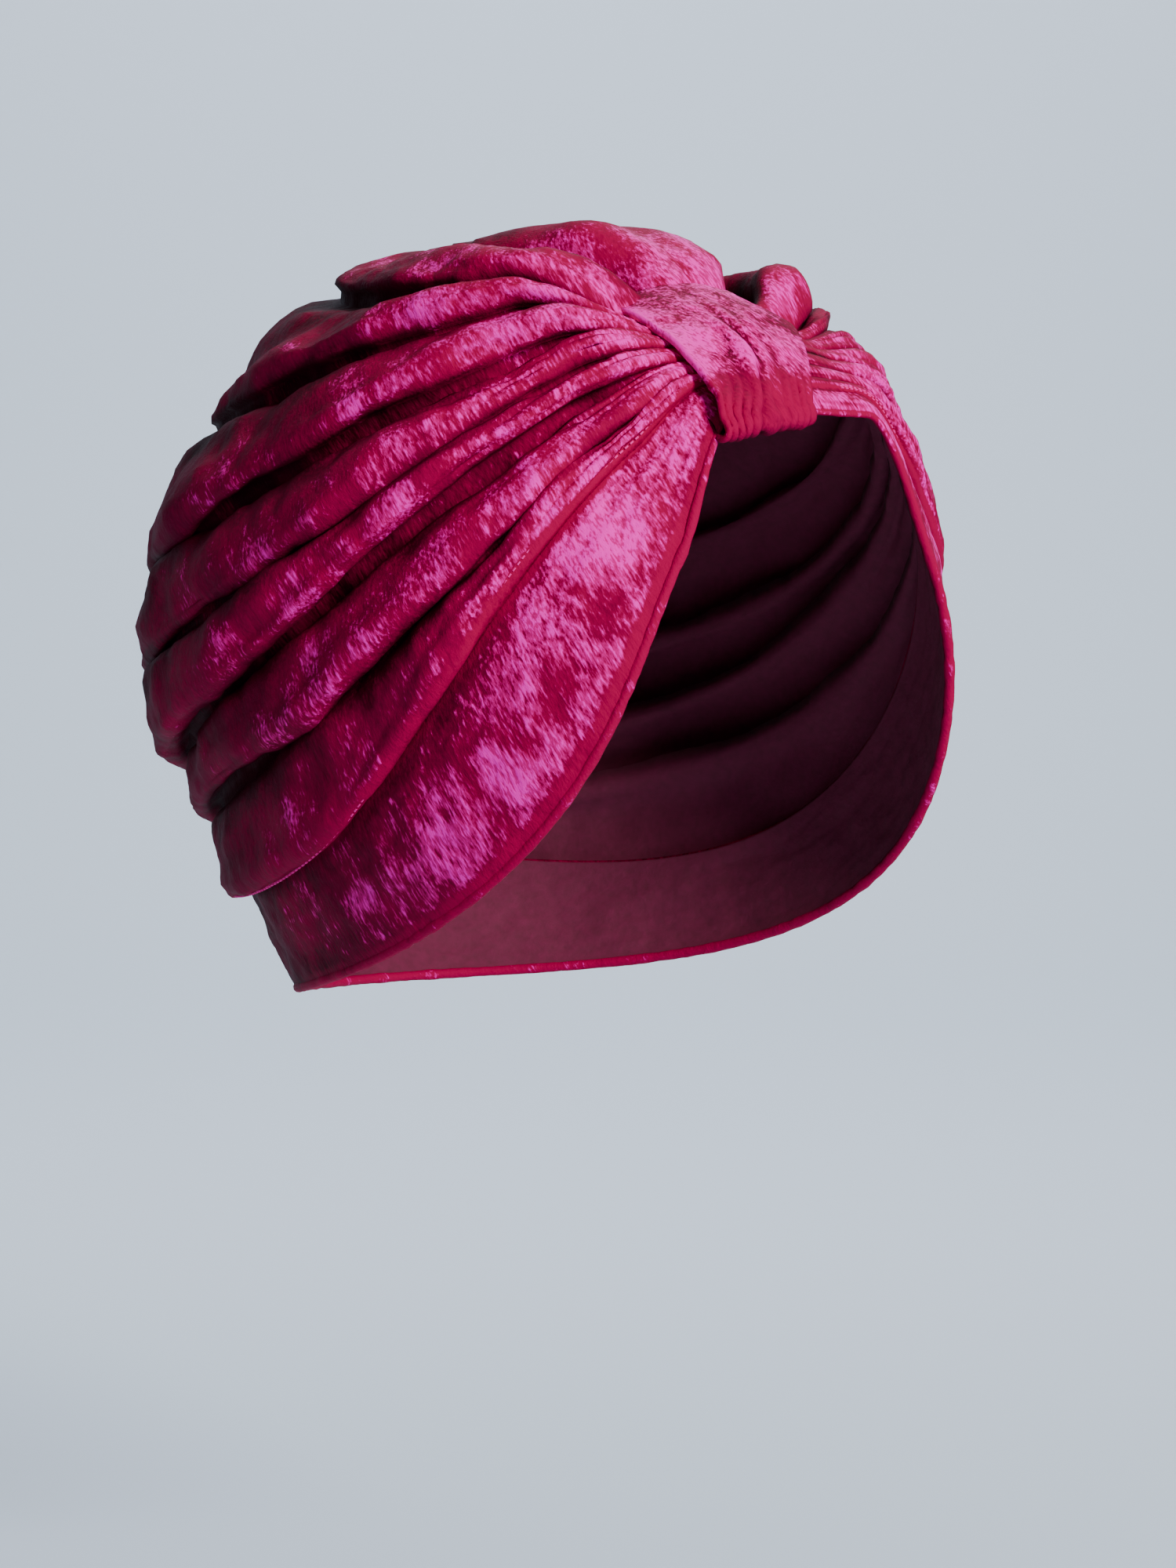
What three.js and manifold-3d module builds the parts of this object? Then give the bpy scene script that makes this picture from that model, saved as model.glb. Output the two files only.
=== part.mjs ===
import * as THREE from "three";
import Module from "manifold-3d";

// Head inside the cap, from its middle at the head-size line: +Z up, face toward -Y
const HEAD_HALF_WIDTH = 82;
const HEAD_HALF_LENGTH = 101;
const HEAD_HEIGHT = 102;
const HEAD_DEPTH = 124;

// Cloth: one wall, the gap between pieces, and how far the folds stand off the head
const CLOTH = 1.6;
const GAP = 0.4;
const EASE = 2.5;
const SLOUCH = 22;
const FOLD_RISE = 12;

// Gathered knot at the front and the strap round it
const STRAP_TOP_WIDTH = 58;
const STRAP_LOW_WIDTH = 36;
const STRAP_LEAN = 8;
const STRAP_DIP_DEGREES = 3;
const KNOT_LOW_STAND = 4;
const KNOT_TOP_STAND = 9;
const KNOT_ARCH = 1.5;
const KNOT_TOP_DEGREES = 68.5;
const KNOT_PLEAT = 0.7;
const STRAP_HEAD_GAP = 0.4;
const STRAP_TURN_DEGREES = 1.9;
const STRAP_RUN = 0.4;

// Where the strap presses the folds flat: shares of its top width either side of the middle, and
// degrees behind the knot
const HOLD_WIDTH = 0.45;
const HOLD_FADE_WIDTH = 0.75;
const HOLD_FADE_DEGREES = 7;

// Valleys between the folds, from the face edge up to the crown: where each starts and ends in
// degrees round the head's middle outline (0 brow, 90 top, 180 back), the pull of its curve as
// shares of the head's half length and height, and its stand-off at the knot (lift) and at the
// back (slouch) as shares of SLOUCH
const VALLEYS = [
  { name: "rim", front: 43.5, back: 218, pullY: -1.03, pullZ: -0.65, lift: 0, slouch: 0 },
  { name: "seam", front: 47.5, back: 200, pullY: -0.27, pullZ: -0.65, lift: 0.15, slouch: 0.03 },
  { name: "nape fold", front: 49.5, back: 195, pullY: -0.45, pullZ: -0.04, lift: 0.3, slouch: 0.14 },
  { name: "low fold", front: 52, back: 188, pullY: -0.12, pullZ: 0.08, lift: 0.4, slouch: 0.38 },
  { name: "ear fold", front: 55, back: 178, pullY: -0.15, pullZ: 0.22, lift: 0.5, slouch: 0.85 },
  { name: "side fold", front: 58, back: 166, pullY: 0, pullZ: 0.42, lift: 0.55, slouch: 1.03 },
  { name: "temple fold", front: 61, back: 148, pullY: 0, pullZ: 0.68, lift: 0.6, slouch: 1.15 },
  { name: "high fold", front: 64, back: 122, pullY: -0.3, pullZ: 0.8, lift: 0.6, slouch: 1.15 },
  { name: "top fold", front: 67, back: 108, pullY: -0.05, pullZ: 0.94, lift: 0.4, slouch: 0.95 },
];
const MIDDLE = { front: 69.5, back: 108, lift: 0.3, slouch: 0.7 };

// Fold above each valley: its rise beside the knot, at the ear and at the back as shares of
// FOLD_RISE, and how far its crest droops down as a share of its width
const FOLDS = [
  { name: "side band", knot: 0.1, side: 0.15, back: 0.05, droop: 0 },
  { name: "nape", knot: 0.3, side: 0.4, back: 0.5, droop: 0.4 },
  { name: "low", knot: 0.3, side: 0.5, back: 0.65, droop: 0.35 },
  { name: "ear", knot: 0.3, side: 0.55, back: 0.9, droop: 0.45 },
  { name: "side", knot: 0.4, side: 0.55, back: 0.5, droop: 0.3 },
  { name: "temple", knot: 0.5, side: 0.65, back: 0.45, droop: 0.3 },
  { name: "high", knot: 0.6, side: 0.7, back: 0.3, droop: 0.2 },
  { name: "top", knot: 0.8, side: 0.75, back: 0.3, droop: 0.1 },
  { name: "middle", knot: 0.5, side: 0.75, back: 0.3, droop: 0 },
];

// Shares of the way from knot to back where a fold changes, and how the stand-off grows along it
const NEAR_KNOT = 0.05;
const AT_EAR = 0.35;
const AT_BACK = 0.8;
const FULL_DROOP = 0.6;
const SLOUCH_GROWTH = 1.2;

// Ranks number the valleys from the face edge; the crown's last half fold closes on the middle
const SEAM_RANK = 1;
const MIDDLE_RANK = VALLEYS.length - 1;
const CROWN_TOP = MIDDLE_RANK + 0.5;

// Faces of the shells
const ROWS_PER_FOLD = 4;
const COLUMNS = 48;
const BAND_ROWS = 6;
const STRAP_ROWS = 8;
const STRAP_COLUMNS = 32;
const SLOPE_STEP = 0.01;
const SLIVER = 0.02;

const { lerp, clamp, smoothstep, degToRad, radToDeg } = THREE.MathUtils;
const kernel = await Module();
kernel.setup();

function onOutline(degrees) {
  const angle = degToRad(degrees);
  const rise = Math.sin(angle);
  const height = rise >= 0 ? HEAD_HEIGHT : HEAD_DEPTH;
  return new THREE.Vector3(0, -HEAD_HALF_LENGTH * Math.cos(angle), height * rise);
}

function headHeight(z) {
  return z >= 0 ? HEAD_HEIGHT : HEAD_DEPTH;
}

function headHalfWidth(y, z) {
  const rest = 1 - (y / HEAD_HALF_LENGTH) ** 2 - (z / headHeight(z)) ** 2;
  return HEAD_HALF_WIDTH * Math.sqrt(Math.max(rest, 0));
}

function headNormal(point) {
  const x = point.x / HEAD_HALF_WIDTH ** 2;
  const y = point.y / HEAD_HALF_LENGTH ** 2;
  const z = point.z / headHeight(point.z) ** 2;
  return new THREE.Vector3(x, y, z).normalize();
}

function toHead(point) {
  const x = point.x / HEAD_HALF_WIDTH;
  const y = point.y / HEAD_HALF_LENGTH;
  const z = point.z / headHeight(point.z);
  return point.divideScalar(Math.hypot(x, y, z));
}

// Valley at any rank between the listed ones
function valleyAt(rank) {
  const low = Math.min(Math.floor(rank), VALLEYS.length - 2);
  const between = {};
  for (const field of ["front", "back", "pullY", "pullZ", "lift", "slouch"]) {
    between[field] = lerp(VALLEYS[low][field], VALLEYS[low + 1][field], rank - low);
  }
  return between;
}

// Share of the way from the knot (turn 0) past the right ear to the back (turn PI)
function shareBack(turn) {
  return (1 - Math.cos(turn)) / 2;
}

function valleyPoint(rank, turn) {
  const valley = valleyAt(rank);
  const pull = new THREE.Vector3(0, valley.pullY * HEAD_HALF_LENGTH, valley.pullZ * HEAD_HEIGHT);
  const curve = new THREE.QuadraticBezierCurve3(onOutline(valley.front), pull, onOutline(valley.back));
  const point = curve.getPoint(shareBack(turn));
  point.x = -Math.sign(Math.sin(turn)) * headHalfWidth(point.y, point.z);
  return point;
}

function foldBase(rank, turn) {
  if (rank <= MIDDLE_RANK) return valleyPoint(rank, turn);
  const middle = onOutline(lerp(MIDDLE.front, MIDDLE.back, shareBack(turn)));
  return toHead(valleyPoint(MIDDLE_RANK, turn).lerp(middle, 2 * (rank - MIDDLE_RANK)));
}

// Share of the way up the knot, from the face edge to its top
function knotShare(degrees) {
  const low = VALLEYS[0].front;
  return clamp((degrees - low) / (KNOT_TOP_DEGREES - low), 0, 1);
}

// Stand-off of the gathers in the knot, by degrees round the outline
function knotStand(degrees) {
  const share = knotShare(degrees);
  return lerp(KNOT_LOW_STAND, KNOT_TOP_STAND, share) + KNOT_ARCH * Math.sin(Math.PI * share);
}

// Point of the knot x off the middle, round the outline and off the head
function knotPoint(x, degrees, stand) {
  const point = onOutline(degrees);
  point.addScaledVector(headNormal(point), stand);
  const drop = 1 - Math.sqrt(1 - Math.min((x / HEAD_HALF_WIDTH) ** 2, 1));
  point.multiplyScalar(1 - knotShare(degrees) * drop);
  point.x = x;
  return point;
}

// How firmly the strap holds the cloth over a point of the head
function strapHold(base) {
  const width = STRAP_TOP_WIDTH;
  const angle = radToDeg(Math.atan2(base.z / HEAD_HEIGHT, -base.y / HEAD_HALF_LENGTH));
  const degrees = ((angle + 450) % 360) - 90;
  const beside = 1 - smoothstep(Math.abs(base.x), width * HOLD_WIDTH, width * HOLD_FADE_WIDTH);
  const behind = 1 - smoothstep(degrees, KNOT_TOP_DEGREES, KNOT_TOP_DEGREES + HOLD_FADE_DEGREES);
  return beside * behind;
}

// Middle of the cloth at a rank up the folds and a turn round the head
function clothPoint(rank, turn) {
  const along = shareBack(turn);
  const index = Math.min(Math.floor(rank), FOLDS.length - 1);
  const fold = FOLDS[index];
  const bump = Math.sin(Math.PI * (rank - index));
  const droop = fold.droop * bump * smoothstep(along, NEAR_KNOT, FULL_DROOP);
  const base = foldBase(rank - droop, turn);
  const valley = valleyAt(Math.min(rank - droop, MIDDLE_RANK));
  const over = 2 * Math.max(rank - droop - MIDDLE_RANK, 0);
  const lift = lerp(valley.lift, MIDDLE.lift, over);
  const slouch = lerp(valley.slouch, MIDDLE.slouch, over);
  const stand = EASE + SLOUCH * lerp(lift, slouch, along ** SLOUCH_GROWTH);
  const early = lerp(fold.knot, fold.side, smoothstep(along, NEAR_KNOT, AT_EAR));
  const rise = FOLD_RISE * lerp(early, fold.back, smoothstep(along, AT_EAR, AT_BACK));
  const free = base.clone().addScaledVector(headNormal(base), stand + rise * bump);
  const degrees = lerp(valley.front, MIDDLE.front, over);
  const pleat = KNOT_PLEAT * (bump - 1);
  const gathered = knotPoint(base.x, degrees, knotStand(degrees) + pleat);
  return free.lerp(gathered, strapHold(base));
}

// Top edge of the band, a gap under the seam
function bandPoint(share, turn) {
  const seam = clothPoint(SEAM_RANK, turn);
  const below = clothPoint(SEAM_RANK - SLOPE_STEP, turn);
  const scale = below.distanceTo(seam) / SLOPE_STEP;
  return clothPoint(share * (SEAM_RANK - GAP / scale), turn);
}

// Strap's middle: share 0 to 1 across it; turn runs up its face, over, down its back and under
function strapPoint(share, turn, spread = 0) {
  const low = VALLEYS[0].front;
  const lap = (((turn / Math.PI / 2) % 1) + 1) % 1;
  const back = STRAP_HEAD_GAP + CLOTH / 2;
  const bend = Math.PI * clamp((lap % 0.5 - STRAP_RUN) / (0.5 - STRAP_RUN), 0, 1);
  const run = clamp((lap % 0.5) / STRAP_RUN, 0, 1);
  const rising = lap < 0.5;
  let degrees = rising ? lerp(low, KNOT_TOP_DEGREES, run) : lerp(KNOT_TOP_DEGREES, low, run);
  const lean = Math.cos(bend) * (rising ? 1 : -1);
  const face = knotStand(degrees) + CLOTH + GAP;
  const stand = lerp(back, face, (1 + lean) / 2);
  degrees += STRAP_TURN_DEGREES * Math.sin(bend) * (rising ? 1 : -1);
  const rise = knotShare(degrees);
  const half = lerp(STRAP_LOW_WIDTH, STRAP_TOP_WIDTH, rise) / 2;
  const offset = (2 * share - 1) * (half + spread) - STRAP_LEAN * (1 - rise);
  return knotPoint(offset, degrees - STRAP_DIP_DEGREES * (1 - share) * (1 - rise), stand);
}

// Closed shell over a grid of cloth: rows across it, columns round its loop. A closed top folds
// its last row onto itself; edge walls stand square to the head where radial is set
function shell(pointAt, rows, columns, thickness, options = {}) {
  const { from = 0, to = 1, closedTop = false, radial = false } = options;
  const count = rows + 1;
  const positions = [];
  for (const side of [1, -1]) {
    for (let row = 0; row < count; row += 1) {
      const rank = lerp(from, to, row / rows);
      for (let column = 0; column < columns; column += 1) {
        const turn = (2 * Math.PI * column) / columns;
        const middle = pointAt(rank, turn);
        const down = pointAt(Math.max(rank - SLOPE_STEP * (to - from), from), turn);
        const up = pointAt(Math.min(rank + SLOPE_STEP * (to - from), to), turn).sub(down);
        const ahead = pointAt(rank, turn + SLOPE_STEP).sub(pointAt(rank, turn - SLOPE_STEP));
        let normal = up.cross(ahead).normalize();
        if (radial && (row === 0 || row === rows)) normal = headNormal(middle);
        middle.addScaledVector(normal, (side * thickness) / 2);
        positions.push(middle.x, middle.y, middle.z);
      }
    }
  }
  const at = (side, row, column) => {
    const turned = (column + columns) % columns;
    const folded = closedTop && row === rows ? Math.min(turned, columns - turned) : turned;
    return (side * count + row) * columns + folded;
  };
  const faces = [];
  const quad = (a, b, c, d) => faces.push([a, b, c], [a, c, d]);
  for (let column = 0; column < columns; column += 1) {
    const next = column + 1;
    for (let row = 0; row < rows; row += 1) {
      const up = row + 1;
      quad(at(0, row, column), at(0, up, column), at(0, up, next), at(0, row, next));
      quad(at(1, row, column), at(1, row, next), at(1, up, next), at(1, up, column));
    }
    quad(at(1, 0, column), at(0, 0, column), at(0, 0, next), at(1, 0, next));
    if (!closedTop) quad(at(0, rows, column), at(1, rows, column), at(1, rows, next), at(0, rows, next));
  }
  const whole = faces.filter(([a, b, c]) => a !== b && b !== c && c !== a);
  return { positions, faces: whole };
}

function solidFrom({ positions, faces }) {
  const used = [...new Set(faces.flat())];
  const renumbered = new Map(used.map((old, index) => [old, index]));
  const corners = used.flatMap((old) => positions.slice(3 * old, 3 * old + 3));
  const mesh = new kernel.Mesh({
    numProp: 3,
    vertProperties: Float32Array.from(corners),
    triVerts: Uint32Array.from(faces.flat().map((old) => renumbered.get(old))),
  });
  return new kernel.Manifold(mesh);
}

function meshFrom(name, solid, material) {
  const { vertProperties, triVerts } = solid.getMesh();
  const geometry = new THREE.BufferGeometry();
  geometry.setAttribute("position", new THREE.BufferAttribute(vertProperties, 3));
  geometry.setIndex(new THREE.BufferAttribute(triVerts, 1));
  const mesh = new THREE.Mesh(geometry.toNonIndexed(), material);
  mesh.geometry.computeVertexNormals();
  mesh.name = name;
  return mesh;
}

const crownRows = ROWS_PER_FOLD * (CROWN_TOP - SEAM_RANK);
const crownSheet = solidFrom(shell(clothPoint, crownRows, COLUMNS, CLOTH, {
  from: SEAM_RANK,
  to: CROWN_TOP,
  closedTop: true,
  radial: true,
}));
const strapSlot = solidFrom(shell(
  (share, turn) => strapPoint(share, turn, GAP),
  STRAP_ROWS,
  STRAP_COLUMNS,
  CLOTH + 2 * GAP,
));
const crown = crownSheet.subtract(strapSlot).simplify(SLIVER);
const band = solidFrom(shell(bandPoint, BAND_ROWS, COLUMNS, CLOTH, { radial: true }));
const strap = solidFrom(shell(strapPoint, STRAP_ROWS, STRAP_COLUMNS, CLOTH));

const group = new THREE.Group();
group.name = "turban_headwrap";
for (const { name, solid, color } of [
  { name: "crown", solid: crown, color: 0xa81450 },
  { name: "side_band", solid: band, color: 0x9a1048 },
  { name: "centre_band", solid: strap, color: 0xb01a58 },
]) {
  const material = new THREE.MeshStandardMaterial({ color, roughness: 0.6, metalness: 0 });
  group.add(meshFrom(name, solid, material));
}
export default group;
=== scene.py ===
import bpy
import bmesh
import math
import numpy as np
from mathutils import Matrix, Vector, noise


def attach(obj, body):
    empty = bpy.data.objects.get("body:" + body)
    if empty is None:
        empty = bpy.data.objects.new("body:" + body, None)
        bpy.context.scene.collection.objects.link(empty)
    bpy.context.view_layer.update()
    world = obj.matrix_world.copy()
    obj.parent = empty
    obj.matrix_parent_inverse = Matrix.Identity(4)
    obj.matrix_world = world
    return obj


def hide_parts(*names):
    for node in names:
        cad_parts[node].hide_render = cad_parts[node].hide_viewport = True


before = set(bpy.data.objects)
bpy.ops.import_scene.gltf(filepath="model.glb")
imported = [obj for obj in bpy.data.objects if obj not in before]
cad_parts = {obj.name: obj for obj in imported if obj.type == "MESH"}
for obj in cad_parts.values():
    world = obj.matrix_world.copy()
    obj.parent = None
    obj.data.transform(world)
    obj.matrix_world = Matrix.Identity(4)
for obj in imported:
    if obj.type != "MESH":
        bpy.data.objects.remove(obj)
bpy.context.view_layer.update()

# the head the cloth hangs on, from its middle at the head-size line
head = {
    "halfWidth": 0.082,
    "halfLength": 0.101,
    "height": 0.102,
    "depth": 0.124,
    "ease": 0.0025,
    "slouch": 0.022,
}

# valleys from the face edge up: ends in degrees round the middle outline, pull of the curve
# as shares of the head's length and height, stand-off at the knot and at the back
valleyTable = [
    # front, back, pullY, pullZ, lift, slouch
    (43.5, 218, -1.03, -0.65, 0, 0),
    (47.5, 200, -0.27, -0.65, 0.15, 0.03),
    (49.5, 195, -0.45, -0.04, 0.3, 0.14),
    (52, 188, -0.12, 0.08, 0.4, 0.38),
    (55, 178, -0.15, 0.22, 0.5, 0.85),
    (58, 166, 0, 0.42, 0.55, 1.03),
    (61, 148, 0, 0.68, 0.6, 1.15),
    (64, 122, -0.3, 0.8, 0.6, 1.15),
    (67, 108, -0.05, 0.94, 0.4, 0.95),
]
middle = {"front": 69.5, "back": 108, "lift": 0.3, "slouch": 0.7}

# folds over each valley: rise at the knot, ear and back as shares of the rise, droop of the crest
folds = {
    "rise": 0.012,
    "fullness": 0.6,
    "skew": 0.84,
    "nearKnot": 0.05,  # places along a fold, from 0 at the knot to 1 at the back
    "atEar": 0.35,
    "atBack": 0.8,
    "fullDroop": 0.6,
    "slouchGrowth": 1.2,
    "table": [
        (0.1, 0.15, 0.05, 0),
        (0.3, 0.4, 0.5, 0.4),
        (0.3, 0.5, 0.65, 0.35),
        (0.3, 0.55, 0.9, 0.45),
        (0.4, 0.55, 0.5, 0.3),
        (0.5, 0.65, 0.45, 0.3),
        (0.6, 0.7, 0.3, 0.2),
        (0.8, 0.75, 0.3, 0.1),
        (0.5, 0.75, 0.3, 0),
    ],
}

# gathered knot at the front
knot = {
    "topWidth": 0.058,
    "lowWidth": 0.036,
    "lowStand": 0.004,
    "topStand": 0.009,
    "arch": 0.0015,
    "top": 68.5,
    "pleat": 0.0007,
    "clear": 0.002,
    "holdNear": 0.45,  # shares of the top width between which the strap lets go of the folds
    "holdFar": 0.75,
    "holdFade": 7,  # degrees
}

seamRank = 1
middleRank = len(valleyTable) - 1
crownTop = middleRank + 0.5
valleys = np.array(valleyTable, float).T


def smooth(x, low, high):
    t = np.clip((x - low) / (high - low), 0, 1)
    return t * t * (3 - 2 * t)


def lerp(a, b, t):
    return a + (b - a) * t


def hump(away, width):
    return np.exp(-((away / width) ** 2))


def onOutline(degrees):
    angle = np.radians(degrees)
    rise = np.sin(angle)
    z = np.where(rise >= 0, head["height"], head["depth"]) * rise
    return np.stack([np.zeros_like(z), -head["halfLength"] * np.cos(angle), z], -1)


def headSizes(points):
    height = np.where(points[..., 2] >= 0, head["height"], head["depth"])
    wide = np.full_like(height, head["halfWidth"])
    long = np.full_like(height, head["halfLength"])
    return np.stack([wide, long, height], -1)


def headNormal(points):
    normal = points / headSizes(points) ** 2
    return normal / np.linalg.norm(normal, axis=-1, keepdims=True)


def valleyAt(rank):
    ranks = np.arange(valleys.shape[1])
    return [np.interp(rank, ranks, column) for column in valleys]


def valleyPoint(rank, turn):
    front, back, pullY, pullZ = valleyAt(rank)[:4]
    t = ((1 - np.cos(turn)) / 2)[..., None]
    zero = np.zeros_like(pullY)
    pull = np.stack([zero, pullY * head["halfLength"], pullZ * head["height"]], -1)
    points = (1 - t) ** 2 * onOutline(front) + 2 * t * (1 - t) * pull + t**2 * onOutline(back)
    share = points / headSizes(points)
    rest = np.clip(1 - share[..., 1] ** 2 - share[..., 2] ** 2, 0, None)
    points[..., 0] = -np.sign(np.sin(turn)) * head["halfWidth"] * np.sqrt(rest)
    return points


def foldBase(rank, turn):
    points = valleyPoint(np.minimum(rank, middleRank), turn)
    along = (1 - np.cos(turn)) / 2
    over = 2 * np.clip(rank - middleRank, 0, None)
    line = onOutline(lerp(middle["front"], middle["back"], along))
    mixed = lerp(points, line, over[..., None])
    size = np.linalg.norm(mixed / headSizes(mixed), axis=-1, keepdims=True)
    return np.where(over[..., None] > 0, mixed / size, points)


def knotShare(degrees):
    low = valleys[0][0]
    return np.clip((degrees - low) / (knot["top"] - low), 0, 1)


def knotStand(degrees):
    share = knotShare(degrees)
    return lerp(knot["lowStand"], knot["topStand"], share) + knot["arch"] * np.sin(np.pi * share)


def knotPoint(x, degrees, stand):
    points = onOutline(degrees)
    points = points + headNormal(points) * stand[..., None]
    drop = 1 - np.sqrt(1 - np.minimum((x / head["halfWidth"]) ** 2, 1))
    points = points * (1 - knotShare(degrees) * drop)[..., None]
    points[..., 0] = x
    return points


def strapHold(base):
    angle = np.degrees(np.arctan2(base[..., 2] / head["height"], -base[..., 1] / head["halfLength"]))
    degrees = (angle + 450) % 360 - 90
    wide = knot["topWidth"]
    beside = 1 - smooth(np.abs(base[..., 0]), wide * knot["holdNear"], wide * knot["holdFar"])
    behind = 1 - smooth(degrees, knot["top"], knot["top"] + knot["holdFade"])
    return beside * behind


# middle of the cloth, its height in the fold (0 valley, 1 crest) and how near the knot it lies
def clothPoint(rank, turn):
    along = (1 - np.cos(turn)) / 2
    index = np.minimum(np.floor(rank).astype(int), len(folds["table"]) - 1)
    table = np.array(folds["table"])
    atKnot, atSide, atBack, fall = [table[index, column] for column in range(4)]
    across = rank - index
    bump = np.sin(np.pi * np.clip(across, 0, 1) ** folds["skew"])
    droop = fall * bump * smooth(along, folds["nearKnot"], folds["fullDroop"])
    low = rank - droop
    base = foldBase(low, turn)
    front, back, pullY, pullZ, lift, slouch = valleyAt(np.minimum(low, middleRank))
    over = 2 * np.clip(low - middleRank, 0, None)
    lift = lerp(lift, middle["lift"], over)
    slouch = lerp(slouch, middle["slouch"], over)
    stand = head["ease"] + head["slouch"] * lerp(lift, slouch, along ** folds["slouchGrowth"])
    early = lerp(atKnot, atSide, smooth(along, folds["nearKnot"], folds["atEar"]))
    rise = folds["rise"] * lerp(early, atBack, smooth(along, folds["atEar"], folds["atBack"]))
    full = lerp(bump, np.sqrt(np.clip(bump, 0, 1)), folds["fullness"])
    free = base + headNormal(base) * (stand + rise * full)[..., None]
    degrees = lerp(front, middle["front"], over)
    gathered = knotPoint(base[..., 0], degrees, knotStand(degrees) + knot["pleat"] * (bump - 1))
    hold = strapHold(base)
    return lerp(free, gathered, hold[..., None]), bump, hold


# the grid closes along its second axis
def gridNormals(points):
    tiny = 1e-12
    uphill = np.gradient(points, axis=0)
    onward = np.roll(points, -1, axis=1) - np.roll(points, 1, axis=1)
    normal = np.cross(uphill, onward)
    size = np.linalg.norm(normal, axis=-1, keepdims=True)
    return np.where(size > tiny, normal / np.maximum(size, tiny), headNormal(points))


def noiseField(points, scale, seed, octaves=3):
    fade, step = 0.6, 2.1
    flat = points.reshape(-1, 3) * scale + seed
    values = [noise.fractal(Vector(p), fade, step, octaves) for p in flat]
    return np.array(values).reshape(points.shape[:-1])


# noise stretched along the folds, closed round the head
def foldNoise(rank, turn, across, along, seed, octaves=2):
    ring = [rank * across, np.cos(turn) * along, np.sin(turn) * along]
    return noiseField(np.stack(ring, -1), 1.0, Vector(seed), octaves)


# how far each point faces a fixed direction between the key light and the camera, levelled off where it
# faces it most; it paints highlight and shade into the velvet's colour
def paintedLightFacing(points):
    facing = gridNormals(points) @ np.array(velvet["paintedLightSide"])
    return facing - velvet["paintedLightFade"] * np.clip(facing - velvet["paintedLightFull"], 0, 1)


# closedTop joins the last row to itself, the left half to the right
def meshFromGrid(name, points, closedTop, attributes):
    rows, columns = points.shape[:2]
    ids = np.arange(rows * columns).reshape(rows, columns)
    if closedTop:
        half = np.arange(columns)
        ids[-1] = ids[-1][np.minimum(half, (columns - half) % columns)]
    after = np.roll(ids, -1, axis=1)
    quads = np.stack([ids[:-1], ids[1:], after[1:], after[:-1]], -1).reshape(-1, 4)
    faces = []
    for quad in quads.tolist():
        face = list(dict.fromkeys(quad))
        if len(face) > 2:
            faces.append(face)
    mesh = bpy.data.meshes.new(name)
    mesh.from_pydata(points.reshape(-1, 3).tolist(), [], faces)
    for key, values in attributes.items():
        layer = mesh.attributes.new(key, "FLOAT", "POINT")
        layer.data.foreach_set("value", np.asarray(values, np.float32).reshape(-1))
    mesh.validate()
    for polygon in mesh.polygons:
        polygon.use_smooth = True
    piece = bpy.data.objects.new(name, mesh)
    bpy.context.collection.objects.link(piece)
    return piece


class Wire:
    def __init__(self, tree, socket):
        self.tree = tree
        self.socket = socket

    def node(self, kind, inputs, output=0, **settings):
        made = self.tree.nodes.new(kind)
        for key, value in settings.items():
            setattr(made, key, value)
        for key, value in inputs.items():
            if isinstance(value, Wire):
                self.tree.links.new(value.socket, made.inputs[key])
            else:
                made.inputs[key].default_value = value
        return Wire(self.tree, made.outputs[output])

    def maths(self, operation, first, second=0.0):
        return self.node("ShaderNodeMath", {0: first, 1: second}, operation=operation)

    def __add__(self, other):
        return self.maths("ADD", self, other)

    def __radd__(self, other):
        return self.maths("ADD", other, self)

    def __sub__(self, other):
        return self.maths("SUBTRACT", self, other)

    def __rsub__(self, other):
        return self.maths("SUBTRACT", other, self)

    def __mul__(self, other):
        return self.maths("MULTIPLY", self, other)

    def __rmul__(self, other):
        return self.maths("MULTIPLY", other, self)

    def between(self, low, high):
        return self.node("ShaderNodeMapRange", {"Value": self, "From Min": low, "From Max": high})


# a Mix node's colour sockets are inputs 6 and 7 and output 2
def mixColours(share, first, second):
    return share.node("ShaderNodeMix", {0: share, 6: first, 7: second}, 2, data_type="RGBA")


velvet = {
    # dark is painted shade, put in fold valleys and on faces turned from the light
    "dark": (0.03, 0.0001, 0.0035, 1),
    "wine": (0.15, 0.0001, 0.027, 1),
    "crimson": (0.34, 0.0001, 0.05, 1),
    # magenta is a painted sheen and pink a painted highlight, both mottled by random patches
    "magenta": (0.60, 0.0002, 0.19, 1),
    "pink": (1.0, 0.006, 0.50, 1),
    "patch": 80.0,  # noise scales
    "coarse": 30.0,
    "streak": 1300.0,
    "comb": (-0.36, -0.39, 0),  # turn of the pile's run
    "patchDrawn": (1.0, 1.0, 2.0),
    "streakDrawn": (1.0, 1.0, 5.0),
    "paintedLightSide": (-0.31, -0.935, 0.17),  # a fixed direction between the key light and the camera; faces turned to it get painted highlight, faces turned away painted shade
    "paintedLightFull": 0.55,
    "paintedLightFade": 0.7,
    "paintedLightShare": 2.1,  # shares in the painted shine
    "foldShare": 1.7,
    "foldLevel": 0.6,
    "patchShare": 5.4,
    "coarseShare": 2.4,
    "turnedShare": 1.2,
    "paintedSheenFrom": (0.35, 0.8),  # painted shine at which the magenta painted sheen begins and is full
    "paintedGlintFrom": (0.9, 1.4),  # the same for the pink painted highlight
    "warmFrom": (0.4, 1.05),
    "clearOfPaintedShadeFrom": (0.4, 1.25),
    "bumpPatch": 0.0009,
    "bumpFibre": 0.00022,
    "roughness": 0.62,
    "ior": 1.12,
    "tint": (1.0, 0.12, 0.5, 1),
}


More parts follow.
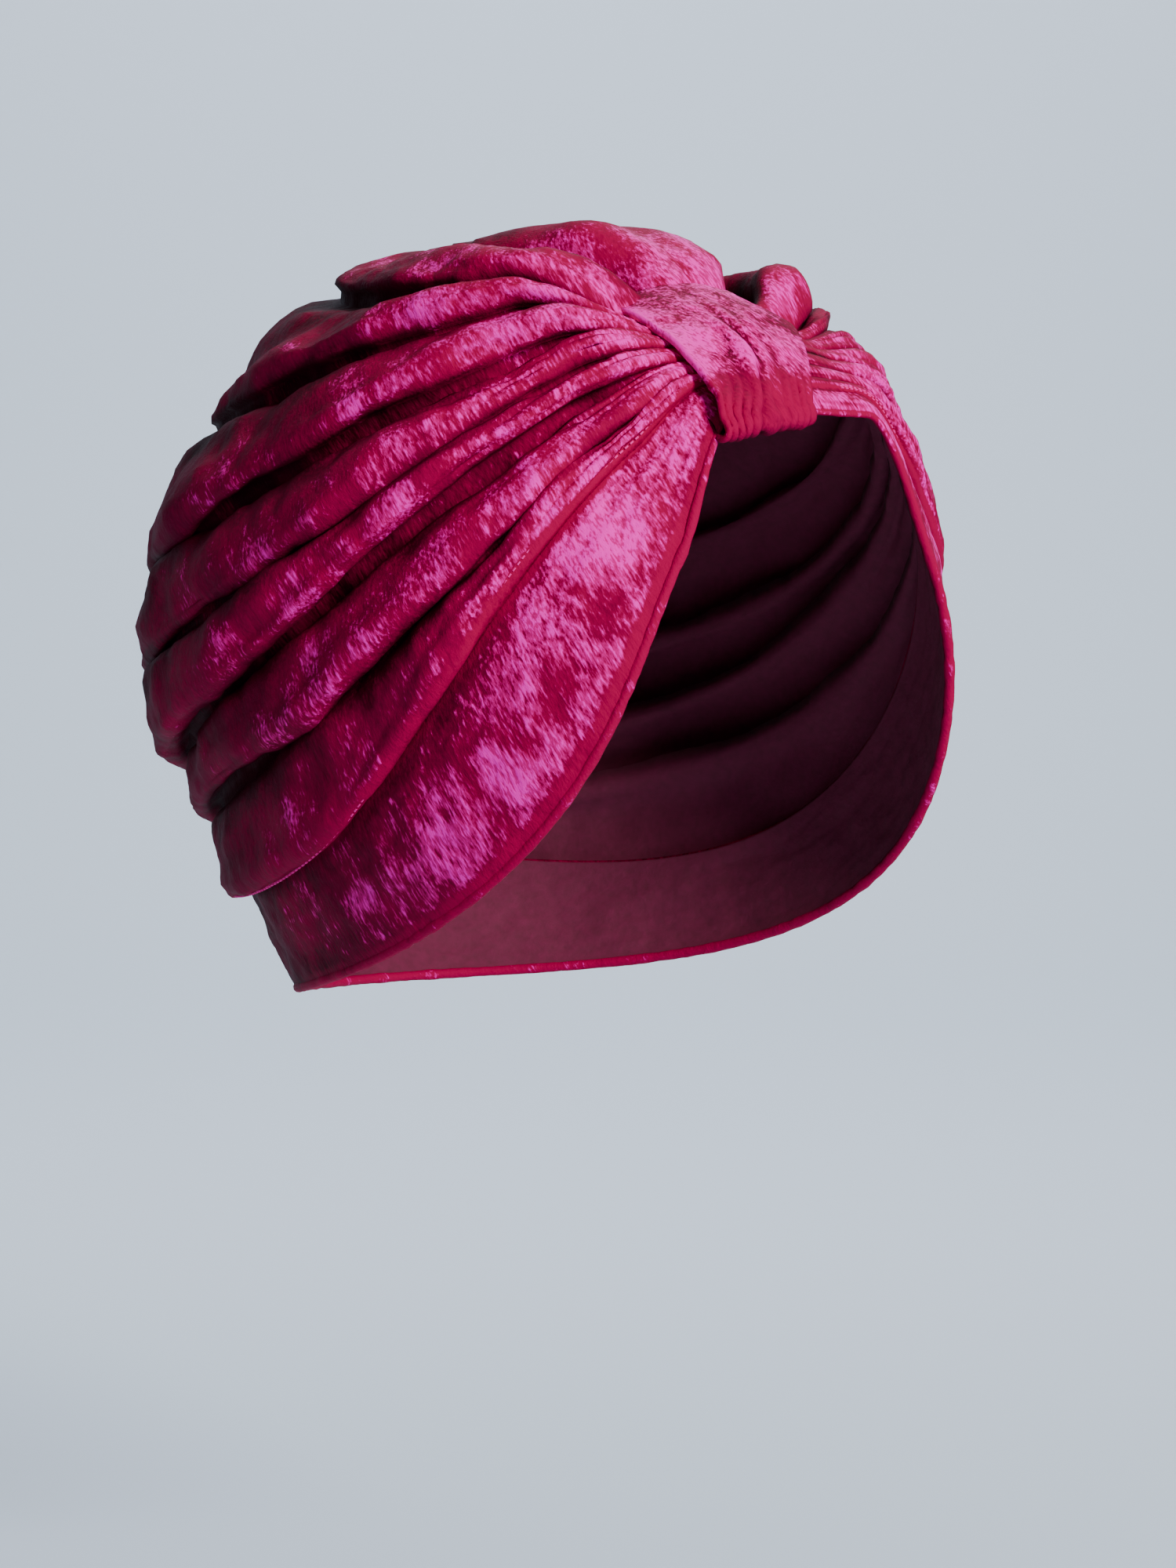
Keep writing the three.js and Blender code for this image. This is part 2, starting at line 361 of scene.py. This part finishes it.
def noiseAt(place, scale, detail, roughness=0.55, distortion=0.0):
    inputs = {"Vector": place, "Scale": scale, "Detail": detail}
    inputs |= {"Roughness": roughness, "Distortion": distortion}
    return place.node("ShaderNodeTexNoise", inputs, "Fac")


# the place read along the pile's run, longer in its last direction
def combed(place, drawn):
    inputs = {"Vector": place, "Rotation": velvet["comb"], "Scale": drawn}
    return place.node("ShaderNodeMapping", inputs, vector_type="TEXTURE")


def meshValue(start, name):
    return start.node("ShaderNodeAttribute", {}, "Fac", attribute_name=name)


# the light level shifts the painted highlight of each copy of the velvet, painting it lighter or darker; red
# raises the crimson of the turned edges
def velvetMaterial(name, paintedShineLevel=0.0, red=0.0):
    material = bpy.data.materials.new(name)
    material.use_nodes = True
    tree = material.node_tree
    shader = tree.nodes["Principled BSDF"]
    start = Wire(tree, None)
    place = start.node("ShaderNodeTexCoord", {}, "Object")
    patch = noiseAt(combed(place, velvet["patchDrawn"]), velvet["patch"], 8.0, 0.72, 0.3)
    coarse = noiseAt(place, velvet["coarse"], 4.0, 0.6, 0.3)
    fibre = noiseAt(combed(place, velvet["streakDrawn"]), velvet["streak"], 2.0, 0.6)
    # mesh values: fold height, facing toward the fixed light direction for painted highlight and shade, and
    # turned edges
    fold, paintedLight, turned = [meshValue(start, name) for name in ("fold", "paintedLight", "turned")]
    mottle = (patch - 0.5) * velvet["patchShare"] + (coarse - 0.5) * velvet["coarseShare"]
    # painted shine: faces turned to the fixed light direction and fold crests get painted highlight, random
    # patches mottle it, turned edges get less
    paintedShine = paintedLight * velvet["paintedLightShare"] + mottle + (fold - velvet["foldLevel"]) * velvet["foldShare"]
    paintedShine = paintedShine + paintedShineLevel - turned * velvet["turnedShare"]
    # magenta painted sheen and pink painted highlight, broken by the pile's streaks
    paintedSheen = (paintedShine + (fibre - 0.5) * 3.0).between(*velvet["paintedSheenFrom"])
    paintedGlint = (paintedShine + (fibre - 0.5) * 4.4).between(*velvet["paintedGlintFrom"])
    pile = (coarse - 0.5) * 1.4 + (fibre - 0.5) * 0.9
    # crimson share: partly painted light from the facing and the fold crests, partly random pile tone and
    # the red of the turned edges
    warm = (paintedLight * 0.8 + pile + fold * 0.5 + red + turned * 0.3).between(*velvet["warmFrom"])
    # painted shade: fold valleys and faces turned from the light go toward the near-black colour, broken by
    # random patches
    clearOfPaintedShade = (fold * 1.2 + paintedLight * 0.6 + (patch - 0.5) * 1.4).between(*velvet["clearOfPaintedShadeFrom"])
    wine = mixColours(clearOfPaintedShade, velvet["dark"], velvet["wine"])
    cloth = mixColours(warm, wine, velvet["crimson"])
    # the painted sheen and painted highlight laid over the cloth colour
    colour = mixColours(paintedGlint, mixColours(paintedSheen, cloth, velvet["magenta"]), velvet["pink"])
    tree.links.new(colour.socket, shader.inputs["Base Color"])
    rough = velvet["roughness"] - paintedSheen * 0.2 + (fibre - 0.5) * 0.3
    tree.links.new(rough.socket, shader.inputs["Roughness"])
    height = {"Height": patch + coarse * 1.4, "Distance": velvet["bumpPatch"], "Strength": 1.0}
    patchBump = start.node("ShaderNodeBump", height)
    height = {"Height": fibre, "Distance": velvet["bumpFibre"], "Strength": 0.8, "Normal": patchBump}
    fibreBump = start.node("ShaderNodeBump", height)
    tree.links.new(fibreBump.socket, shader.inputs["Normal"])
    shader.inputs["IOR"].default_value = velvet["ior"]
    shader.inputs["Specular Tint"].default_value = velvet["tint"]
    return material


reverse = {
    "dark": (0.09, 0.002, 0.02, 1),
    "pale": (0.17, 0.004, 0.045, 1),
    "knit": 420.0,
    "bump": 0.0003,
    "roughness": 0.85,
}


def reverseMaterial(name):
    material = bpy.data.materials.new(name)
    material.use_nodes = True
    tree = material.node_tree
    shader = tree.nodes["Principled BSDF"]
    place = Wire(tree, None).node("ShaderNodeTexCoord", {}, "Object")
    knit = noiseAt(place, reverse["knit"], 2.0)
    colour = mixColours(knit, reverse["dark"], reverse["pale"])
    tree.links.new(colour.socket, shader.inputs["Base Color"])
    height = {"Height": knit, "Distance": reverse["bump"], "Strength": 0.6}
    tree.links.new(place.node("ShaderNodeBump", height).socket, shader.inputs["Normal"])
    shader.inputs["Roughness"].default_value = reverse["roughness"]
    return material


# crown
crown = {
    "rows": 150,
    "columns": 312,
    "thickness": 0.0012,
    "long": 0.0028,  # waves along the folds
    "longRun": (1.3, 1.5),  # how often, across and along the folds
    "sharp": 0.0026,  # ridges along the folds
    "sharpRun": (2.6, 2.2),
    "dents": 0.0018,
    "dentScale": 24,
    "crush": 0.0008,
    "crushScale": 75,
    "crease": 0.0034,  # depth of the valleys
    "creaseWidth": 0.45,
    "topCrease": 0.012,  # hollow behind the knot
    "topWidth": 0.16,
    "puff": 0.002,  # rise of the cloth on top
    "puffWidth": 0.3,
    "looseFrom": (0.01, 0.06),  # where the top begins to lie loose, and ends
    "looseTo": (0.35, 0.7),
    "pucker": 0.0011,  # pleats beside the knot
    "puckers": 2.4,
    "knotReach": 0.10,
    "seamStrip": (0.2, 0.34),  # where the crimson along the seam fades
    "flat": (0.32, 0.36),
}


# loose loops of cloth behind the knot: middle of each, its reach and how far it rises
loops = [
    # x, y, z, long reach, short reach, rise
    (-0.012, -0.022, 0.118, 0.012, 0.007, 0.0045),
    (-0.021, -0.026, 0.110, 0.012, 0.006, -0.0045),
    (-0.030, -0.034, 0.106, 0.014, 0.006, 0.0030),
    (0.024, -0.026, 0.112, 0.014, 0.007, 0.0045),
    (0.040, -0.034, 0.107, 0.008, 0.007, 0.0035),
]


loopRun = (0.75, 0.62, 0.22)  # the way a loop lies, mirrored on the other side


# each loop is long along the way its fold runs, from the knot toward the crown
def loopLift(points):
    total = np.zeros(points.shape[:-1])
    for x, y, z, far, near, rise in loops:
        away = points - np.array([x, y, z])
        run = np.array([np.sign(x) * loopRun[0], *loopRun[1:]])
        run = run / np.linalg.norm(run)
        along = away @ run
        across = np.linalg.norm(away - along[..., None] * run, axis=-1)
        total += rise * hump(along, far) * hump(across, near)
    return total


def buildCrown():
    ranks = np.linspace(seamRank, crownTop, crown["rows"])
    turns = np.linspace(0, 2 * np.pi, crown["columns"], endpoint=False)
    rank, turn = np.meshgrid(ranks, turns, indexing="ij")
    points, bump, hold = clothPoint(rank, turn)
    normals = gridNormals(points)
    along = (1 - np.cos(turn)) / 2
    ends = np.clip((crownTop - rank) * 2, 0, 1) * np.clip((rank - seamRank) * 6, 0, 1)  # no lift at the rims
    long = foldNoise(rank, turn, *crown["longRun"], (3.1, 0.7, 8.2))
    sharp = 0.5 - np.abs(foldNoise(rank, turn, *crown["sharpRun"], (1.4, 6.2, 2.9)))
    dents = noiseField(points, crown["dentScale"], Vector((5.2, 1.1, 7.7)), 2)
    crush = noiseField(points, crown["crushScale"], Vector((9.4, 3.3, 0.8)))
    near = np.exp(-along / crown["knotReach"])
    pucker = np.sin(2 * np.pi * (rank * crown["puckers"] + long * 1.2))
    lift = crown["long"] * long + crown["sharp"] * sharp * (0.5 + near) + crown["dents"] * dents
    lift = lift + crown["crush"] * crush + crown["pucker"] * pucker * near
    lift = lift - crown["crease"] * (1 - smooth(bump, 0, crown["creaseWidth"]))
    loose = smooth(along, *crown["looseFrom"]) * (1 - smooth(along, *crown["looseTo"]))
    lift = lift - crown["topCrease"] * hump(rank - middleRank, crown["topWidth"]) * loose
    lift = lift + crown["puff"] * hump(rank - crownTop, crown["puffWidth"]) * loose
    lift = lift + loopLift(points)
    points = points + normals * (lift * ends * (1 - hold))[..., None]
    depth = np.clip(bump + 0.5 * sharp + 0.25 * pucker * near, 0, 1)
    strip = 1 - smooth(rank - seamRank, *crown["seamStrip"])
    # the facing value paints highlight and shade into the velvet's colour
    looks = {"fold": depth, "paintedLight": paintedLightFacing(points), "turned": strip}
    return meshFromGrid("crownCloth", points, True, looks)


# a wall for the cloth, and its place in the frame
def finishCloth(piece, node, thickness, outside, inside):
    piece.data.materials.append(outside)
    piece.data.materials.append(inside)
    solid = piece.modifiers.new("wall", "SOLIDIFY")
    solid.thickness = thickness
    solid.offset = 0
    solid.use_rim = True
    solid.material_offset = 1
    solid.material_offset_rim = 0
    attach(piece, "root")
    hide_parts(node)
    return piece


# small pieces that lie on a cloth and ride with it
def finishTrim(piece, material):
    piece.data.materials.append(material)
    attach(piece, "root")
    return piece


# a roll of cloth round a closed line of points
def rollRound(name, line, radius, sides, attributes):
    ahead = np.roll(line, -1, axis=0) - np.roll(line, 1, axis=0)
    ahead = ahead / np.linalg.norm(ahead, axis=-1, keepdims=True)
    outward = headNormal(line)
    across = np.cross(ahead, outward)
    spin = np.linspace(0, 2 * np.pi, sides, endpoint=False)[:, None, None]
    rings = line[None] + radius[None, :, None] * (np.cos(spin) * outward + np.sin(spin) * across)
    rings = np.concatenate([rings, rings[:1]])
    shaped = {key: np.broadcast_to(value, rings.shape[:2]) for key, value in attributes.items()}
    # the facing value paints highlight and shade into the hem's colour
    piece = meshFromGrid(name, rings, False, shaped | {"paintedLight": paintedLightFacing(rings)})
    weld = bmesh.new()
    weld.from_mesh(piece.data)
    bmesh.ops.remove_doubles(weld, verts=weld.verts, dist=1e-7)
    bmesh.ops.recalc_face_normals(weld, faces=weld.faces)
    weld.to_mesh(piece.data)
    weld.free()
    return piece


# copies of the velvet painted lighter or darker by their light level: the crown darker than the band, the
# strap lightest, the hem darkest and more crimson
crownVelvet = velvetMaterial("velvet", paintedShineLevel=-1.3)
bandVelvet = velvetMaterial("bandVelvet", paintedShineLevel=-0.85)
strapVelvet = velvetMaterial("strapVelvet", paintedShineLevel=-0.45)
edgeVelvet = velvetMaterial("edgeVelvet", paintedShineLevel=-1.7, red=0.5)
inside = reverseMaterial("velvetReverse")
crownPiece = finishCloth(
    buildCrown(), "crown", crown["thickness"], crownVelvet, inside
)
print("crown made", len(crownPiece.data.polygons))

# stitches along the crown's lower seam
stitches = {
    "rows": (0.10, 0.19),  # shares of the lowest fold
    "spacing": 0.0018,
    "length": 0.001,
    "radius": 0.00026,
    "sides": 6,
    "steps": 600,
    "hidden": 0.35,  # share of the strap's width that covers the seam
    "dark": (0.75, 0.002, 0.18, 1),
    "pale": (1.0, 0.02, 0.42, 1),
    "twist": 1500.0,
}


def seamCurve(name, share):
    turns = np.linspace(0, 2 * np.pi, stitches["steps"], endpoint=False)
    rank = np.full_like(turns, seamRank + share)
    points, bump, hold = clothPoint(rank, turns)
    lift = crown["thickness"] / 2 + stitches["radius"]
    points = points + headNormal(points) * lift
    mesh = bpy.data.meshes.new(name)
    count = len(turns)
    shown = np.abs(points[:, 0]) > knot["topWidth"] * stitches["hidden"]
    edges = [(i, (i + 1) % count) for i in range(count) if shown[i] and shown[(i + 1) % count]]
    mesh.from_pydata(points.tolist(), edges, [])
    return bpy.data.objects.new(name, mesh)


def stitchGroup():
    group = bpy.data.node_groups.new("stitchRow", "GeometryNodeTree")
    face = group.interface
    face.new_socket("Geometry", in_out="INPUT", socket_type="NodeSocketGeometry")
    for name in ("Spacing", "Length", "Radius"):
        face.new_socket(name, in_out="INPUT", socket_type="NodeSocketFloat")
    face.new_socket("Thread", in_out="INPUT", socket_type="NodeSocketMaterial")
    face.new_socket("Geometry", in_out="OUTPUT", socket_type="NodeSocketGeometry")
    add = group.nodes.new
    link = group.links.new
    given, made = add("NodeGroupInput"), add("NodeGroupOutput")
    curve, steps = add("GeometryNodeMeshToCurve"), add("GeometryNodeCurveToPoints")
    steps.mode = "LENGTH"
    stitch, place = add("GeometryNodeMeshCylinder"), add("GeometryNodeInstanceOnPoints")
    stitch.inputs["Vertices"].default_value = stitches["sides"]
    real, paint = add("GeometryNodeRealizeInstances"), add("GeometryNodeSetMaterial")
    link(given.outputs["Geometry"], curve.inputs["Mesh"])
    link(curve.outputs["Curve"], steps.inputs["Curve"])
    link(given.outputs["Spacing"], steps.inputs["Length"])
    link(given.outputs["Length"], stitch.inputs["Depth"])
    link(given.outputs["Radius"], stitch.inputs["Radius"])
    aim = add("FunctionNodeAlignRotationToVector")
    aim.axis = "Z"
    link(steps.outputs["Tangent"], aim.inputs["Vector"])
    link(aim.outputs["Rotation"], place.inputs["Rotation"])
    link(steps.outputs["Points"], place.inputs["Points"])
    link(stitch.outputs["Mesh"], place.inputs["Instance"])
    link(place.outputs["Instances"], real.inputs["Geometry"])
    link(real.outputs["Geometry"], paint.inputs["Geometry"])
    link(given.outputs["Thread"], paint.inputs["Material"])
    link(paint.outputs["Geometry"], made.inputs["Geometry"])
    return group


def threadMaterial(name):
    material = bpy.data.materials.new(name)
    material.use_nodes = True
    shader = material.node_tree.nodes["Principled BSDF"]
    place = Wire(material.node_tree, None).node("ShaderNodeTexCoord", {}, "Object")
    twist = noiseAt(place, stitches["twist"], 2.0)
    colour = mixColours(twist, stitches["dark"], stitches["pale"])
    material.node_tree.links.new(colour.socket, shader.inputs["Base Color"])
    shader.inputs["Roughness"].default_value = 0.6
    shader.inputs["Specular IOR Level"].default_value = 0.15
    return material


def buildStitches():
    group = stitchGroup()
    thread = threadMaterial("thread")
    values = {"Spacing": stitches["spacing"], "Length": stitches["length"]}
    values |= {"Radius": stitches["radius"], "Thread": thread}
    given = [item for item in group.interface.items_tree if item.in_out == "INPUT"]
    sockets = {item.name: item.identifier for item in given}
    pieces = []
    for row, share in enumerate(stitches["rows"]):
        line = seamCurve(f"seamLine{row}", share)
        bpy.context.collection.objects.link(line)
        run = line.modifiers.new("stitchRow", "NODES")
        run.node_group = group
        for name, value in values.items():
            run[sockets[name]] = value
        bpy.context.view_layer.update()
        graph = bpy.context.evaluated_depsgraph_get()
        mesh = bpy.data.meshes.new_from_object(line.evaluated_get(graph))
        bpy.data.objects.remove(line)
        piece = bpy.data.objects.new(f"seamStitches{row}", mesh)
        bpy.context.collection.objects.link(piece)
        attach(piece, "root")
        pieces.append(piece)
    return pieces


seamStitches = buildStitches()
print("stitches made", sum(len(piece.data.polygons) for piece in seamStitches))

# side band
band = {
    "rows": 60,
    "columns": 360,
    "thickness": 0.0013,
    "crush": 0.0006,
    "crushScale": 75,
    "waves": 0.0012,
    "waveScale": 20,
    "long": 0.0012,
    "longRun": (1.6, 1.8),
    "knotReach": 0.12,
    "hem": 0.0014,
    "hemSides": 10,
    "fuzz": 0.16,
    "fuzzScale": 260,
    "drop": 0.0045,  # how far the rim is drawn down at the strap's low corner
    "corner": -0.031,  # x of that corner
    "rimStrip": (0.06, 0.13),
    "seamStrip": (0.9, 0.97),
    "flat": (0.040, 0.55),
}


# the rim is drawn down to the strap's low corner
def rimDrop(points, share):
    x = points[..., 0]
    start, reach, fade = 0.008, 0.022, 0.014
    downFace = np.array([0, -0.69, -0.72])
    under = np.clip((-x - start) / reach, 0, 1)
    past = hump(np.minimum(x - band["corner"], 0), fade)
    front = points[..., 1] < 0
    drop = band["drop"] * under * past * front * np.clip(1 - share * 3, 0, 1) ** 2
    return points + drop[..., None] * downFace


def buildBand():
    shares = np.linspace(0, 1, band["rows"])
    turns = np.linspace(0, 2 * np.pi, band["columns"], endpoint=False)
    share, turn = np.meshgrid(shares, turns, indexing="ij")
    points, bump, hold = clothPoint(share * 0.995, turn)  # clear of the crown's rim
    points = rimDrop(points, share)
    normals = gridNormals(points)
    along = (1 - np.cos(turn)) / 2
    near = np.exp(-along / band["knotReach"])
    crush = noiseField(points, band["crushScale"], Vector((7.7, 2.2, 0.4)))
    waves = noiseField(points, band["waveScale"], Vector((4.4, 1.2, 5.9)), 2)
    long = 0.5 - np.abs(foldNoise(share * 2, turn, *band["longRun"], (6.1, 2.7, 3.4)))
    ends = np.clip(share * 6, 0.15, 1) * np.clip((1 - share) * 6, 0, 1)
    lift = band["crush"] * crush + band["waves"] * waves + band["long"] * long * (0.3 + near)
    points = points + normals * (lift * (1 - hold) * ends)[..., None]
    depth = np.clip(0.45 + 0.35 * bump + 0.5 * (long - 0.2) * (0.3 + near), 0, 1)
    turned = 1 - smooth(share, *band["rimStrip"]) + smooth(share, *band["seamStrip"])
    # the facing value paints highlight and shade into the velvet's colour
    looks = {"fold": depth, "paintedLight": paintedLightFacing(points), "turned": turned}
    return meshFromGrid("bandCloth", points, False, looks)


def buildHem():
    turns = np.linspace(0, 2 * np.pi, band["columns"], endpoint=False)
    points, bump, hold = clothPoint(np.full_like(turns, 0.01), turns)
    points = rimDrop(points, np.zeros_like(turns))
    fuzz = noiseField(points, band["fuzzScale"], Vector((2.2, 8.8, 5.1)))
    radius = band["hem"] * (1 + band["fuzz"] * fuzz) * (1 - 0.45 * hold)
    return rollRound("rimHem", points, radius, band["hemSides"], {"fold": 0.8 + 0.5 * fuzz})


bandPiece = finishCloth(
    buildBand(), "side_band", band["thickness"], bandVelvet, inside
)
hemPiece = finishTrim(buildHem(), edgeVelvet)
print("band made", len(bandPiece.data.polygons))

# strap
strap = {
    "across": 60,
    "round": 180,
    "thickness": 0.0016,
    "turnOver": 1.9,  # degrees that each end reaches past the gathers
    "run": 0.4,  # share of the loop that lies along the front
    "inner": 0.0012,
    "lean": 0.015,
    "dip": 3.8,  # degrees that the low end hangs lower on its leaning side
    "ribs": 11,
    "rib": 0.0006,
    "ribEnd": (0.02, 0.11),
    "pleats": 6,
    "pleat": 0.0009,
    "pleatAt": (0.45, 0.15),  # across the strap and along its loop
    "raised": 0.0008,  # roll of the leaning edge
    "crush": 0.0005,
    "crushScale": 90,
    "swayScale": 30,
    "flat": (0.047, 0.13),
}


def strapPoint(share, lap):
    low = valleys[0][0]
    half = np.mod(lap, 0.5)
    rising = lap < 0.5
    bend = np.pi * np.clip((half - strap["run"]) / (0.5 - strap["run"]), 0, 1)
    run = np.clip(half / strap["run"], 0, 1)
    side = np.where(rising, 1, -1)
    degrees = np.where(rising, lerp(low, knot["top"], run), lerp(knot["top"], low, run))
    lean = np.cos(bend) * side
    stand = lerp(strap["inner"], knotStand(degrees) + knot["clear"], (1 + lean) / 2)
    degrees = degrees + strap["turnOver"] * np.sin(bend) * side
    rise = knotShare(degrees)
    wide = lerp(knot["lowWidth"], knot["topWidth"], rise) / 2
    x = (2 * share - 1) * wide - strap["lean"] * (1 - rise)
    return knotPoint(x, degrees - strap["dip"] * (1 - share) * (1 - rise), stand)


def buildStrap():
    shares = np.linspace(0, 1, strap["across"])
    laps = np.linspace(0, 1, strap["round"], endpoint=False)
    share, lap = np.meshgrid(shares, laps, indexing="ij")
    points = strapPoint(share, lap)
    normals = gridNormals(points)
    crush = noiseField(points, strap["crushScale"], Vector((2.5, 9.1, 3.3)))
    sway = noiseField(points, strap["swayScale"], Vector((1.8, 0.6, 4.2)), 2)
    middle = hump(share - strap["pleatAt"][0], 0.16) * hump(lap - strap["pleatAt"][1], 0.13)
    pleat = np.sin(2 * np.pi * (share * strap["pleats"] + sway * 1.1))
    raised = np.exp(-share / 0.05)
    shown = np.where(lap < 0.5, 1, 0.3) * np.clip(np.sin(2 * np.pi * lap) * 3, 0, 1)
    ends = np.clip((1 - share) * 8, 0, 1)
    lift = strap["crush"] * crush + strap["pleat"] * (pleat + 1) * middle * shown
    lift = lift + strap["raised"] * raised * shown
    turned = np.where(lap < 0.5, 1 - smooth(lap + 0.06 * sway, *strap["ribEnd"]), 1)
    rib = np.sin(2 * np.pi * (share * strap["ribs"] + sway * 2.2)) * (0.9 + sway)
    lift = lift + strap["rib"] * rib * turned * np.where(lap < 0.5, 1, smooth(lap, 0.88, 0.93))
    points = points + normals * (lift * ends)[..., None]
    depth = np.clip(0.6 + 0.4 * pleat * middle + 0.4 * raised + 0.2 * rib * turned, 0, 1)
    # the facing value paints highlight and shade into the velvet's colour
    looks = {"fold": depth, "paintedLight": paintedLightFacing(points), "turned": turned}
    return meshFromGrid("strapCloth", points, False, looks)


strapPiece = finishCloth(
    buildStrap(), "centre_band", strap["thickness"], strapVelvet, strapVelvet
)
print("strap made", len(strapPiece.data.polygons))

# where the camera stands
view = {
    "azimuth": 44,  # degrees
    "elevation": 2,
    "distance": 1.025,
    "lens": 90,  # millimetres
    "film": 36,
    "shift": (-0.001025, 0.021525),  # of the object in the frame, right and up
}
azimuth, elevation = math.radians(view["azimuth"]), math.radians(view["elevation"])
ahead = Vector((math.sin(azimuth), math.cos(azimuth), 0))
right = Vector((math.cos(azimuth), -math.sin(azimuth), 0))
back = Vector((0, 0, math.sin(elevation))) - ahead * math.cos(elevation)
up = back.cross(right)

# floor and lights
room = {
    "floor": -0.30,
    "halfWidth": 5,
    # the backdrop's bend: way ahead and height over the floor
    "bend": [(-4.0, 0), (1.6, 0), (2.0, 0.1), (2.3, 0.4), (2.4, 0.9), (2.4, 3.8)],
    "wall": (0.64, 0.74, 0.86, 1),
    "key": 26.0,  # watts
    "fill": 0.8,
    "rim": 2.0,
    "wallLight": 47.0,
    "world": 0.16,
    "worldColour": (0.82, 0.88, 1.0, 1),
}


def buildRoom():
    points = []
    for side in (-room["halfWidth"], room["halfWidth"]):
        for far, height in room["bend"]:
            points.append(ahead * far + right * side + Vector((0, 0, room["floor"] + height)))
    count = len(room["bend"])
    faces = [(i, i + count, i + count + 1, i + 1) for i in range(count - 1)]
    mesh = bpy.data.meshes.new("backdrop")
    mesh.from_pydata(points, [], faces)
    backdrop = bpy.data.objects.new("backdrop", mesh)
    bpy.context.collection.objects.link(backdrop)
    bend = backdrop.modifiers.new("bend", "SUBSURF")
    bend.levels = 3
    bend.render_levels = 3
    for polygon in mesh.polygons:
        polygon.use_smooth = True
    material = bpy.data.materials.new("backdropPaint")
    material.use_nodes = True
    shader = material.node_tree.nodes["Principled BSDF"]
    shader.inputs["Base Color"].default_value = room["wall"]
    shader.inputs["Roughness"].default_value = 0.9
    mesh.materials.append(material)


def areaLight(name, position, size, power, colour, target=(0, 0, 0.02)):
    data = bpy.data.lights.new(name, "AREA")
    data.energy = power
    data.size = size
    data.color = colour
    lamp = bpy.data.objects.new(name, data)
    lamp.location = position
    aim = Vector(target) - Vector(position)
    lamp.rotation_euler = aim.to_track_quat("-Z", "Y").to_euler()
    bpy.context.collection.objects.link(lamp)


buildRoom()
areaLight("keyLight", back * 1.0 + right * 0.75 + up * 0.6, 0.4, room["key"], (1, 0.98, 0.97))
areaLight("fillLight", back * 1.0 - right * 1.1 + up * 0.2, 0.9, room["fill"], (0.95, 0.97, 1))
areaLight("rimLight", up * 1.0 - back * 0.8 + right * 0.2, 0.7, room["rim"], (1, 1, 1))
wallSide = up * 1.6 - back * 0.9
areaLight("wallLight", wallSide, 1.6, room["wallLight"], (0.97, 0.98, 1), -back * 2.6 + up * 0.2)
world = bpy.data.worlds.new("studio")
world.use_nodes = True
sky = world.node_tree.nodes["Background"]
sky.inputs["Color"].default_value = room["worldColour"]
sky.inputs["Strength"].default_value = room["world"]
bpy.context.scene.world = world
print("room made")

shiftRight, shiftUp = view["shift"]
target = -(right * shiftRight + up * shiftUp)
lens = bpy.data.cameras.new("photoCamera")
lens.lens = view["lens"]
lens.sensor_width = view["film"]
lens.sensor_fit = "AUTO"
camera = bpy.data.objects.new("photoCamera", lens)
camera.location = target + back * view["distance"]
camera.rotation_euler = back.to_track_quat("Z", "Y").to_euler()
bpy.context.collection.objects.link(camera)
bpy.context.scene.camera = camera
